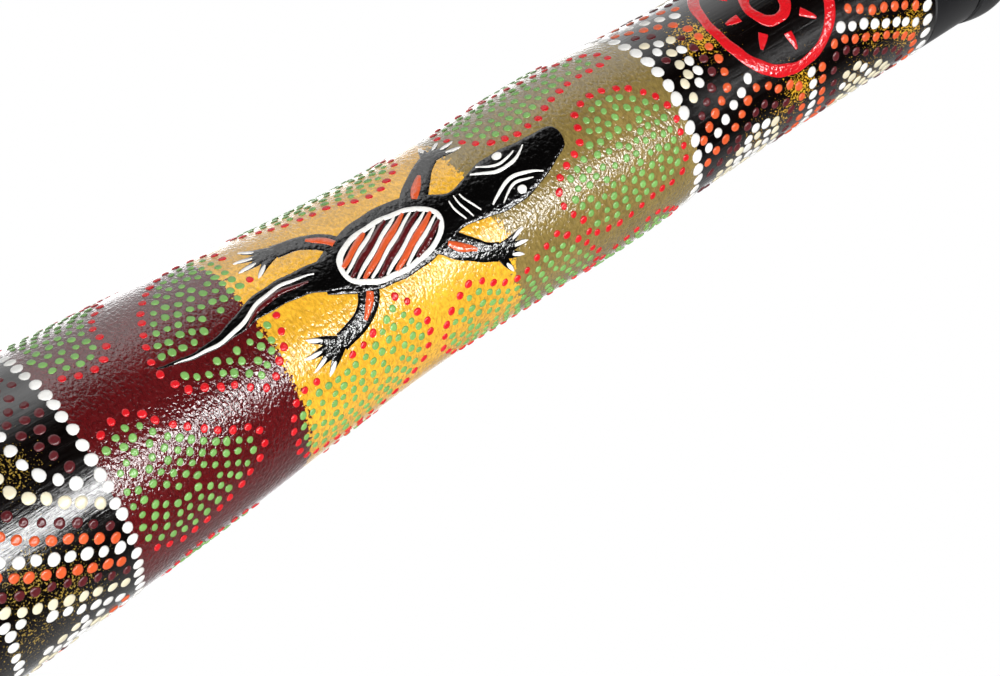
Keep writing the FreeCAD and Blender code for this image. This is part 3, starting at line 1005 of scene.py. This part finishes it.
def tube_material(paint):
    """Acrylic grounds under gloss varnish: brushed black bands and sprayed, orange-peeled panels."""
    material, tree = new_material("varnished_acrylic_grounds")
    place = shader_node(tree, "ShaderNodeTexCoord")
    axes = shader_node(tree, "ShaderNodeSeparateXYZ", {0: place.outputs["Object"]})
    along = shader_node(
        tree, "ShaderNodeMath", {0: axes.outputs[2], 1: 1 / MM, 2: -PANEL_EDGE / MM},
        operation="MULTIPLY_ADD",
    )
    centred = shader_node(
        tree, "ShaderNodeMath", {0: along.outputs[0], 1: 6.5}, operation="SUBTRACT"
    )
    # Spray drifts over a border in specks, and the border itself strays by a few millimetres
    specks = shader_node(
        tree, "ShaderNodeTexNoise",
        {"Vector": place.outputs["Object"], "Scale": per_size(1.25), "Detail": 3.0, "Roughness": 0.7},
    )
    drift = shader_node(
        tree, "ShaderNodeTexNoise", {"Vector": place.outputs["Object"], "Scale": per_size(11), "Detail": 1.0}
    )
    strayed = shader_node(
        tree, "ShaderNodeMath", {0: specks.outputs["Fac"], 1: 9.0, 2: centred.outputs[0]},
        operation="MULTIPLY_ADD",
    )
    strayed = shader_node(
        tree, "ShaderNodeMath", {0: drift.outputs["Fac"], 1: 4.0, 2: strayed.outputs[0]},
        operation="MULTIPLY_ADD",
    )
    # A panel's outer borders stay put: only the borders inside it stray, by half the noise either way
    panels = None
    grounds = linear(paint.black)
    for kind, top, bottom in EDGES:
        if kind == "black":
            continue
        covers = shader_node(
            tree, "ShaderNodeMath",
            {0: along.outputs[0], 1: (top + bottom) / 2, 2: (top - bottom) / 2}, operation="COMPARE",
        )
        if panels is None:
            panels = covers.outputs[0]
        else:
            panels = shader_node(
                tree, "ShaderNodeMath", {0: panels, 1: covers.outputs[0]}, operation="ADD"
            ).outputs[0]
        high = top + 20
        for colour, share in PANEL_SHARES[kind]:
            below = shader_node(
                tree, "ShaderNodeMath", {0: strayed.outputs[0], 1: high}, operation="LESS_THAN"
            )
            high = (top if high > top else high) - share * (top - bottom)
            grounds = shader_node(
                tree, "ShaderNodeMix",
                {0: below.outputs[0], 6: grounds, 7: linear(getattr(paint, colour))}, data_type="RGBA",
            ).outputs[2]
    band = shader_node(tree, "ShaderNodeMath", {0: 1.0, 1: panels}, operation="SUBTRACT")

    cloudy = shader_node(
        tree, "ShaderNodeTexNoise", {"Vector": place.outputs["Object"], "Scale": per_size(18), "Detail": 4.0}
    )
    cloud = shader_node(
        tree, "ShaderNodeMapRange", {0: cloudy.outputs["Fac"], 1: 0.3, 2: 0.7, 3: 0.84, 4: 1.12}
    )

    # Brush marks run along the tube. Real bristles leave finer ones, which would not show
    stretch = shader_node(
        tree, "ShaderNodeMapping", {"Vector": place.outputs["Object"], "Scale": (1.0, 1.0, 0.035)}
    )
    marks = shader_node(
        tree, "ShaderNodeTexNoise",
        {"Vector": stretch.outputs[0], "Scale": per_size(0.9), "Detail": 4.0, "Roughness": 0.65},
    )
    brown = shader_node(
        tree, "ShaderNodeMix",
        {0: marks.outputs["Fac"], 6: linear(paint.black), 7: linear(BRISTLE_BROWN)}, data_type="RGBA",
    )

    # Flicked flecks gather where the attribute says they do
    spatter = shader_node(tree, "ShaderNodeAttribute", attribute_name="spatter")
    flecks = shader_node(
        tree, "ShaderNodeTexNoise",
        {"Vector": place.outputs["Object"], "Scale": per_size(0.55), "Detail": 3.0, "Roughness": 0.6},
    )
    limit = shader_node(
        tree, "ShaderNodeMath", {0: spatter.outputs["Fac"], 1: 0.24, 2: flecks.outputs["Fac"]},
        operation="MULTIPLY_ADD",
    )
    fleck = shader_node(
        tree, "ShaderNodeMapRange", {0: limit.outputs[0], 1: 0.76, 2: 0.78}
    )
    golden = shader_node(tree, "ShaderNodeAttribute", attribute_name="golden")
    fleck_colour = shader_node(
        tree, "ShaderNodeMix",
        {0: golden.outputs["Fac"], 6: linear(DULL_FLECK), 7: linear(paint.spatter)}, data_type="RGBA",
    )
    flecked = shader_node(
        tree, "ShaderNodeMix",
        {0: fleck.outputs[0], 6: brown.outputs[2], 7: fleck_colour.outputs[2]}, data_type="RGBA",
    )
    # Orange peel: pits about a millimetre across, drawn out a little around the tube
    squeeze = shader_node(
        tree, "ShaderNodeMapping", {"Vector": place.outputs["Object"], "Scale": (1.0, 1.0, 1.5)}
    )
    peel = shader_node(
        tree, "ShaderNodeTexNoise",
        {"Vector": squeeze.outputs[0], "Scale": per_size(1.15), "Detail": 2.0, "Roughness": 0.45,
         "Distortion": 0.3},
    )
    # Painted shade and painted highlight: the ground is darkened in the peel's pits and lightened on its
    # peaks, standing in for light glancing off the orange peel
    peel_shade_and_highlight = shader_node(
        tree, "ShaderNodeMapRange", {0: peel.outputs["Fac"], 1: 0.3, 2: 0.7, 3: 0.76, 4: 1.2}
    )
    shade = shader_node(
        tree, "ShaderNodeMath", {0: cloud.outputs[0], 1: peel_shade_and_highlight.outputs[0]}, operation="MULTIPLY"
    )
    panel = shader_node(
        tree, "ShaderNodeMix", {0: 1.0, 6: grounds, 7: shade.outputs[0]},
        data_type="RGBA", blend_type="MULTIPLY",
    )
    outside = shader_node(
        tree, "ShaderNodeMix",
        {0: band.outputs[0], 6: panel.outputs[2], 7: flecked.outputs[2]}, data_type="RGBA",
    )
    bore = shader_node(tree, "ShaderNodeAttribute", attribute_name="bore")
    colour = shader_node(
        tree, "ShaderNodeMix",
        {0: bore.outputs["Fac"], 6: outside.outputs[2], 7: linear(BORE_BROWN)}, data_type="RGBA",
    )
    mark_height = shader_node(
        tree, "ShaderNodeMath", {0: marks.outputs["Fac"], 1: 0.28}, operation="MULTIPLY"
    )
    height = shader_node(
        tree, "ShaderNodeMix",
        {0: band.outputs[0], 2: peel.outputs["Fac"], 3: mark_height.outputs[0]}, data_type="FLOAT",
    )
    bump = shader_node(
        tree, "ShaderNodeBump", {"Height": height.outputs[0], "Strength": 1.0, "Distance": 0.33 * MM}
    )
    rough = shader_node(
        tree, "ShaderNodeMapRange", {0: marks.outputs["Fac"], 1: 0.3, 2: 0.7, 3: 0.14, 4: 0.28}
    )
    gloss = shader_node(
        tree, "ShaderNodeBsdfPrincipled",
        {"Base Color": colour.outputs[2], "Roughness": rough.outputs[0], "IOR": 1.52,
         "Normal": bump.outputs[0], "Coat Weight": 1.0, "Coat Roughness": 0.08,
         "Coat Normal": bump.outputs[0]},
    )
    finish_material(tree, gloss)
    return material


def moulded_plastic_material(name, code, roughness):
    """Injection-moulded ABS: satin, with a spark-eroded grain and faint flow along the axis."""
    material, tree = new_material(name)
    place = shader_node(tree, "ShaderNodeTexCoord")
    grain = shader_node(
        tree, "ShaderNodeTexNoise", {"Vector": place.outputs["Object"], "Scale": per_size(0.4), "Detail": 2.0}
    )
    flow = shader_node(
        tree, "ShaderNodeTexNoise", {"Vector": place.outputs["Object"], "Scale": per_size(16), "Detail": 3.0}
    )
    base = linear(code)
    pale = shaded(base, 1.5, 0.004)
    tone = shader_node(tree, "ShaderNodeMix", {0: flow.outputs["Fac"], 6: base, 7: pale}, data_type="RGBA")
    bump = shader_node(
        tree, "ShaderNodeBump", {"Height": grain.outputs["Fac"], "Strength": 0.25, "Distance": 0.05 * MM}
    )
    sheen = shader_node(
        tree, "ShaderNodeMapRange",
        {0: flow.outputs["Fac"], 1: 0.3, 2: 0.7, 3: roughness - 0.04, 4: roughness + 0.06},
    )
    satin = shader_node(
        tree, "ShaderNodeBsdfPrincipled",
        {"Base Color": tone.outputs[2], "Roughness": sheen.outputs[0], "IOR": 1.53,
         "Normal": bump.outputs[0]},
    )
    finish_material(tree, satin)
    return material


def pale_floor_material():
    """Matt painted board, almost white."""
    material, tree = new_material("matt_floor_paint")
    place = shader_node(tree, "ShaderNodeTexCoord")
    mottle = shader_node(
        tree, "ShaderNodeTexNoise", {"Vector": place.outputs["Object"], "Scale": per_size(330), "Detail": 4.0}
    )
    tone = shader_node(
        tree, "ShaderNodeMix",
        {0: mottle.outputs["Fac"], 6: linear("#e9e9e8"), 7: linear("#f1f1f0")}, data_type="RGBA",
    )
    matt = shader_node(tree, "ShaderNodeBsdfPrincipled", {"Base Color": tone.outputs[2], "Roughness": 0.8})
    finish_material(tree, matt)
    return material


# Operators

class DIDGERIDOO_OT_stage(bpy.types.Operator):
    """Set up the camera, the lights, the room's light and the floor."""

    bl_idname = "didgeridoo.stage"
    bl_label = "Stage"

    # The room's light by heading, in degrees from the front towards +X
    room_light = [
        (-180, 0.8), (-158, 0.65), (-142, 0.24), (-80, 0.2), (-62, 0.1), (-44, 0.0), (82, 0.0), (110, 0.06),
        (155, 0.08), (170, 0.35), (180, 0.8),
    ]
    room_strength = 4.0
    floor_radius = 1.25
    floor_edge = 0.1

    def execute(self, context):
        """Build the stage."""
        stage = context.scene.didgeridoo_stage
        self.camera(context, stage)
        self.lights(stage)
        self.room(context)
        self.floor()
        return {"FINISHED"}

    def camera(self, context, stage):
        """Stand the camera at its eye point, aimed and rolled."""
        bpy.ops.object.select_all(action="DESELECT")
        bpy.ops.object.camera_add(location=stage.eye)
        camera = context.object
        heading = Vector(
            (
                -math.sin(stage.turn) * math.cos(stage.lift),
                math.cos(stage.turn) * math.cos(stage.lift),
                math.sin(stage.lift),
            )
        )
        turned = heading.to_track_quat("-Z", "Y") @ Quaternion((0, 0, 1), stage.roll)
        camera.rotation_euler = turned.to_euler()
        camera.data.lens = stage.lens
        camera.data.sensor_width = 36
        camera.data.clip_start = 0.01
        context.scene.camera = camera
        context.scene.view_settings.view_transform = "Standard"

    def lights(self, stage):
        """A tall strip at the front right, weaker fills at the sides and a strip behind."""
        for name, heading, distance, height, size, power in (
            ("strip", 24.0, 1.5, 0.92, (0.28, 2.12), stage.strip_power),
            ("left_fill", -75.0, 2.0, 0.95, (1.0, 2.2), 6.0),
            ("low_right_fill", 78.0, 1.6, 0.3, (1.1, 0.5), 6.0),
            ("back_strip", 180.0, 1.8, 0.95, (0.25, 2.4), 4.0),
        ):
            angle = math.radians(heading)
            place = (distance * math.sin(angle), -distance * math.cos(angle), height)
            bpy.ops.object.select_all(action="DESELECT")
            bpy.ops.object.light_add(type="AREA", location=place)
            light = bpy.context.object
            light.name = name
            light.data.shape = "RECTANGLE"
            light.data.size, light.data.size_y = size
            light.data.energy = power
            light.rotation_euler = (math.radians(90), 0, angle)
            light.visible_camera = False

    def room(self, context):
        """White where the camera looks; for the rest dark at the front and bright behind."""
        world = bpy.data.worlds.new("studio")
        context.scene.world = world
        world.use_nodes = True
        tree = world.node_tree
        tree.nodes.clear()
        path = shader_node(tree, "ShaderNodeLightPath")
        place = shader_node(tree, "ShaderNodeTexCoord")
        axes = shader_node(tree, "ShaderNodeSeparateXYZ", {0: place.outputs["Generated"]})
        back = shader_node(
            tree, "ShaderNodeMath", {0: axes.outputs[1], 1: -1.0}, operation="MULTIPLY"
        )
        heading = shader_node(
            tree, "ShaderNodeMath", {0: axes.outputs[0], 1: back.outputs[0]}, operation="ARCTAN2"
        )
        share = shader_node(
            tree, "ShaderNodeMapRange", {0: heading.outputs[0], 1: -math.pi, 2: math.pi}
        )
        around = shader_node(
            tree, "ShaderNodeValToRGB", {0: share.outputs[0]},
            stops=[((turn + 180) / 360, (light, light, light, 1)) for turn, light in self.room_light],
        )
        seen = shader_node(tree, "ShaderNodeBackground", {0: (1, 1, 1, 1), 1: 1.0})
        lit = shader_node(tree, "ShaderNodeBackground", {0: around.outputs[0], 1: self.room_strength})
        both = shader_node(
            tree, "ShaderNodeMixShader",
            {0: path.outputs["Is Camera Ray"], 1: lit.outputs[0], 2: seen.outputs[0]},
        )
        shader_node(tree, "ShaderNodeOutputWorld", {"Surface": both.outputs[0]})

    def floor(self):
        """A pale floor with a soft edge."""
        bpy.ops.object.select_all(action="DESELECT")
        bpy.ops.mesh.primitive_circle_add(vertices=96, radius=self.floor_radius, fill_type="NGON")
        floor = bpy.context.object
        floor.name = "floor"
        bpy.ops.object.mode_set(mode="EDIT")
        bpy.ops.mesh.select_all(action="SELECT")
        bpy.ops.mesh.inset(thickness=self.floor_edge, depth=0)
        bpy.ops.object.mode_set(mode="OBJECT")
        floor.data.materials.append(pale_floor_material())


class DIDGERIDOO_OT_tube(bpy.types.Operator):
    """Spin the tube's skin with its bore and rounded bell, and paint its grounds."""

    bl_idname = "didgeridoo.tube"
    bl_label = "Tube"

    steps = 160
    ring_gap = 2.5 * MM
    bore_gap = 15 * MM
    lip = 1.8 * MM
    lower_flecks = 0.8
    lower_gold = 0.4

    def execute(self, context):
        """Build the skin, which stands for the tube's own solid."""
        outline = self.outline()
        skin = spun("tube_skin", outline, self.steps)
        skin.data.materials.append(tube_material(context.scene.didgeridoo_paint))
        self.mark(skin)
        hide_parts("body_tube")
        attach(skin, "root")
        return {"FINISHED"}

    def outline(self):
        """From the top of the bore, down to the bell, round its lip and up the outside."""
        down = np.arange(TUBE_TOP, self.lip, -self.bore_gap)
        up = np.arange(self.lip + self.ring_gap, TUBE_TOP, self.ring_gap)
        inner = [(float(np.interp(level, LEVELS, BORE)), float(level)) for level in down]
        outer = [(float(np.interp(level, LEVELS, OUTER)), float(level)) for level in up]
        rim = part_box("body_tube")[1].x
        bore = float(np.interp(self.lip, LEVELS, BORE))
        quarter = [math.radians(turn) for turn in range(0, 91, 18)]
        lip = [
            (bore + self.lip * (1 - math.cos(angle)), self.lip * (1 - math.sin(angle))) for angle in quarter
        ]
        lip += [
            (rim - self.lip * (1 - math.sin(angle)), self.lip * (1 - math.cos(angle))) for angle in quarter
        ]
        end = (float(OUTER[-1]), TUBE_TOP)
        return inner + lip + outer + [end, inner[0]]

    def mark(self, skin):
        """Note on each point whether it is in the bore, and how thickly flecks lie there."""
        spots = np.array([vertex.co for vertex in skin.data.vertices])
        radii = np.hypot(spots[:, 0], spots[:, 1])
        outer = np.interp(spots[:, 2], LEVELS, OUTER)
        bore = np.clip((outer - radii) / (2.5 * MM), 0, 1)
        along = (spots[:, 2] - PANEL_EDGE) / MM
        around = np.degrees(np.arctan2(spots[:, 0], -spots[:, 1]))
        thick = np.zeros(len(spots))
        golden = np.zeros(len(spots))
        for middle_along, middle_around, reach, strength, gold in FLECK_PATCHES:
            for turn in (0, 180):
                gap = (around - middle_around - turn + 180) % 360 - 180
                sideways = np.radians(gap) * outer / MM
                away = np.hypot(along - middle_along, sideways) / reach
                amount = np.exp(-away ** 2)
                thick = np.maximum(thick, strength * amount)
                golden = np.maximum(golden, gold * (amount > 0.05))
        # Below the shoulder the flecks lie in soft patches, four around and one in about 120 mm
        lower = along < EDGES[2][2]
        waves = 0.5 + 0.5 * np.sin(np.radians(around * 4)) * np.sin(along / 19)
        thick = np.where(lower, waves * self.lower_flecks, thick)
        golden = np.where(lower, self.lower_gold, golden)
        tag_points(skin, "bore", bore)
        tag_points(skin, "spatter", thick)
        tag_points(skin, "golden", golden)


class DIDGERIDOO_OT_lizard(bpy.types.Operator):
    """Paint the lizard: black body and legs, white lines and claws, orange and maroon stripes."""

    bl_idname = "didgeridoo.lizard"
    bl_label = "Lizard"

    def execute(self, context):
        """Paint each colour as one piece, the black first and the stripes last."""
        paint = context.scene.didgeridoo_paint
        black = brushed_acrylic_material("brushed_acrylic_black", STROKE_BLACK, 0.5)
        white = brushed_acrylic_material("brushed_acrylic_white", paint.white, 0.86)
        orange = brushed_acrylic_material("brushed_acrylic_orange", paint.orange, 0.7)
        maroon = brushed_acrylic_material("brushed_acrylic_maroon", STRIPE_MAROON, 0.7)
        painted_strokes("lizard_body", self.body(), black)
        painted_strokes("lizard_belly", self.belly(), white, lift=0.10)
        painted_strokes("lizard_lines", self.lines(), white, lift=0.16)
        painted_strokes("lizard_claws", self.claws(), white, lift=0.12)
        painted_strokes("lizard_orange", self.stripes(0), orange, lift=0.20)
        painted_strokes("lizard_maroon", self.stripes(1), maroon, lift=0.20)
        return {"FINISHED"}

    def body(self):
        """The body, tail, legs and toes."""
        strokes = [stroke(points, fine=7) for points in LIZARD_BODY]
        for leg, toes, patch in lizard_legs():
            strokes.append(stroke(leg, fine=4))
            palm = leg[-1]
            for tip in toes:
                middle = [(palm[at] + tip[at]) / 2 for at in (0, 1)]
                strokes.append(stroke([(*palm[:2], 2.1), (*middle, 1.45), (*tip, 0.6)]))
        return strokes

    def claws(self):
        """A white claw over the end of each toe."""
        strokes = []
        for leg, toes, patch in lizard_legs():
            palm = leg[-1]
            for tip in toes:
                way = [tip[at] - palm[at] for at in (0, 1)]
                root = [palm[at] + 0.6 * way[at] for at in (0, 1)]
                wide = [palm[at] + 0.86 * way[at] for at in (0, 1)]
                point = [palm[at] + 1.12 * way[at] for at in (0, 1)]
                strokes.append(stroke([(*root, 0.25), (*wide, 1.15), (*point, 0.1)]))
        return strokes

    def belly_edge(self):
        """The belly's outline, a little squarer than an oval."""
        scale = float(radius_at(BELLY_CENTRE[0]))
        points = []
        for turn in range(0, 360, 30):
            angle = math.radians(turn)
            along = BELLY_CENTRE[0] + BELLY_HALF[0] * math.cos(angle)
            sideways = BELLY_HALF[1] * math.copysign(abs(math.sin(angle)) ** 0.9, math.sin(angle))
            points.append((along, BELLY_CENTRE[1] + math.degrees(sideways / scale)))
        return points

    def belly(self):
        """The white edge of the belly and the white stripes across it."""
        edge = [(along, around, 0.85) for along, around in self.belly_edge()]
        strokes = [stroke(edge, closed=True)]
        for number in range(-3, 4):
            strokes.extend(self.belly_stripe(number, 0.62))
        return strokes

    def belly_stripe(self, number, half_width):
        """A slanting stripe, a number of stripes away from the middle, ending at the belly's edge."""
        scale = float(radius_at(BELLY_CENTRE[0]))
        long, wide = (half - 0.9 for half in BELLY_HALF)
        inner = []
        for step in np.arange(-20, 20.25, 0.25):
            along = number * BELLY_STRIPE_GAP + step * math.cos(BELLY_SLANT)
            sideways = -step * math.sin(BELLY_SLANT)
            if (along / long) ** 2 + (sideways / wide) ** 2 < 1:
                inner.append((along, sideways))
        if len(inner) < 12:
            return []
        start = inner[0]
        end = inner[-1]
        points = []
        for share, width in ((0.0, 0.6), (0.1, 0.95), (0.5, 1.05), (0.9, 0.95), (1.0, 0.5)):
            along = BELLY_CENTRE[0] + start[0] + share * (end[0] - start[0])
            sideways = start[1] + share * (end[1] - start[1])
            around = BELLY_CENTRE[1] + math.degrees(sideways / scale)
            points.append((along, around, half_width * width))
        return [stroke(points)]

    def lines(self):
        """White lines on the head, neck and tail, and the eyes."""
        strokes = [stroke(points) for points in NECK_LINES]
        strokes.append(stroke(LIZARD_TAIL_LINES["white"]))
        along, aside = EYE
        eye = [(along - 1.3, aside, 0.3), (along - 1.1, aside, 1.0), (along, aside, 1.35),
               (along + 1.1, aside, 1.0), (along + 1.3, aside, 0.3)]
        for side in (-1, 1):
            strokes.extend(stroke(lizard_side(points, side)) for points in (*EYE_LINES, eye))
        return strokes

    def stripes(self, which):
        """Every other slanting stripe of the belly, and the patches or the tail line of that colour."""
        strokes = []
        for number in range(-3, 3):
            if number % 2 != which:
                strokes.extend(self.belly_stripe(number + 0.5, 0.88))
        if which == 0:
            strokes.extend(stroke(patch) for leg, toes, patch in lizard_legs())
        else:
            strokes.append(stroke(LIZARD_TAIL_LINES["maroon"]))
        return strokes


class DIDGERIDOO_OT_sun_ring(bpy.types.Operator):
    """Paint the red ring on the neck with a plain sun inside it."""

    bl_idname = "didgeridoo.sun_ring"
    bl_label = "Red ring"

    rays = 8

    def execute(self, context):
        """Paint the ring, the sun's disc and its rays as one piece."""
        paint = context.scene.didgeridoo_paint
        red = brushed_acrylic_material("brushed_acrylic_red", paint.red, 0.72)
        strokes = [self.circle(RING_REACH, RING_HALF_WIDTH), self.circle(5.6, 1.7)]
        for number in range(self.rays):
            angle = FULL_TURN * number / self.rays
            strokes.append(
                stroke([(*self.spot(9.6, angle), 1.5), (*self.spot(11.6, angle), 1.4),
                        (*self.spot(14.2, angle), 0.5)])
            )
        painted_strokes("red_ring", strokes, red)
        return {"FINISHED"}

    def spot(self, reach, angle):
        """A place at this reach and angle from the ring's middle."""
        scale = float(radius_at(RING_CENTRE[0]))
        around = RING_CENTRE[1] + math.degrees(reach * RING_SHARE_AROUND * math.sin(angle) / scale)
        return RING_CENTRE[0] + reach * math.cos(angle), around

    def circle(self, reach, half_width):
        """A closed brush stroke, a little uneven in width."""
        points = []
        for number in range(16):
            angle = FULL_TURN * number / 16
            uneven = 1 + 0.12 * math.sin(3 * angle + 1) + 0.06 * math.sin(7 * angle)
            points.append((*self.spot(reach, angle), half_width * uneven))
        return stroke(points, closed=True, fine=3)


class DIDGERIDOO_OT_dots(bpy.types.Operator):
    """Dot the tube: rings and arches on the black bands, islands on the panels."""

    bl_idname = "didgeridoo.dots"
    bl_label = "Dots"

    near_segments = 12
    far_segments = 8

    def execute(self, context):
        """Lay out every dot, then make a piece for each colour and part of the tube."""
        paint = context.scene.didgeridoo_paint
        strokes = list(LIZARD_BODY)
        for leg, toes, patch in lizard_legs():
            strokes.append(leg)
            strokes.extend([[(*leg[-1][:2], 1.2), (*tip, 0.6)] for tip in toes])
        dots = lay_out_dots(paint.seed, strokes)
        for number, colour in enumerate(DOT_SIZES):
            material = acrylic_dot_material(colour, getattr(paint, colour))
            mine = [dot for dot in dots if dot[0] == colour]
            upper = [dot for dot in mine if dot[1] > EDGES[2][2]]
            lower = sorted((dot for dot in mine if dot[1] <= EDGES[2][2]), key=lambda dot: dot[1])
            half = len(lower) // 2
            groups = [("upper", upper), ("lower", lower)]
            if colour == "green":
                groups = [("upper", upper), ("bell", lower[:half]), ("middle", lower[half:])]
            for place, group in groups:
                segments = self.near_segments if place == "upper" else self.far_segments
                name = f"{colour}_dots_{place}"
                dot_piece(name, group, colour, material, segments, paint.seed + number)
        return {"FINISHED"}


class DIDGERIDOO_OT_fittings(bpy.types.Operator):
    """Give the collar, the mouthpiece and the seals their moulded finishes."""

    bl_idname = "didgeridoo.fittings"
    bl_label = "End fittings"

    def execute(self, context):
        """Give each fitting's node its material."""
        collar = moulded_plastic_material("moulded_abs_collar", "#131315", 0.36)
        mouthpiece = moulded_plastic_material("moulded_abs_mouthpiece", "#111113", 0.32)
        rubber = moulded_plastic_material("moulded_nitrile_rubber", "#0f0f0f", 0.55)
        for node, material in (
            ("end_collar", collar),
            ("mouthpiece", mouthpiece),
            ("upper_seal_ring", rubber),
            ("lower_seal_ring", rubber),
        ):
            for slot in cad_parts[node].material_slots:
                slot.material = material
        return {"FINISHED"}


class DIDGERIDOO_PT_build(bpy.types.Panel):
    """Every step of the build, in order."""

    bl_label = "Didgeridoo"
    bl_idname = "DIDGERIDOO_PT_build"
    bl_space_type = "VIEW_3D"
    bl_region_type = "UI"
    bl_category = "Didgeridoo"

    def draw(self, context):
        """One button for each step."""
        for operator in OPERATORS:
            self.layout.operator(operator.bl_idname)


OPERATORS = (
    DIDGERIDOO_OT_stage,
    DIDGERIDOO_OT_tube,
    DIDGERIDOO_OT_lizard,
    DIDGERIDOO_OT_sun_ring,
    DIDGERIDOO_OT_dots,
    DIDGERIDOO_OT_fittings,
)
CLASSES = (PaintSettings, StageSettings, *OPERATORS, DIDGERIDOO_PT_build)


def register():
    """Add the settings, the operators and the panel."""
    for one in CLASSES:
        bpy.utils.register_class(one)
    bpy.types.Scene.didgeridoo_paint = PointerProperty(type=PaintSettings)
    bpy.types.Scene.didgeridoo_stage = PointerProperty(type=StageSettings)


def unregister():
    """Take them away again."""
    del bpy.types.Scene.didgeridoo_stage
    del bpy.types.Scene.didgeridoo_paint
    for one in reversed(CLASSES):
        bpy.utils.unregister_class(one)


def main():
    """Build everything in order."""
    register()
    bpy.ops.didgeridoo.stage()
    bpy.ops.didgeridoo.tube()
    bpy.ops.didgeridoo.lizard()
    bpy.ops.didgeridoo.sun_ring()
    bpy.ops.didgeridoo.dots()
    bpy.ops.didgeridoo.fittings()


if __name__ == "__main__":
    main()
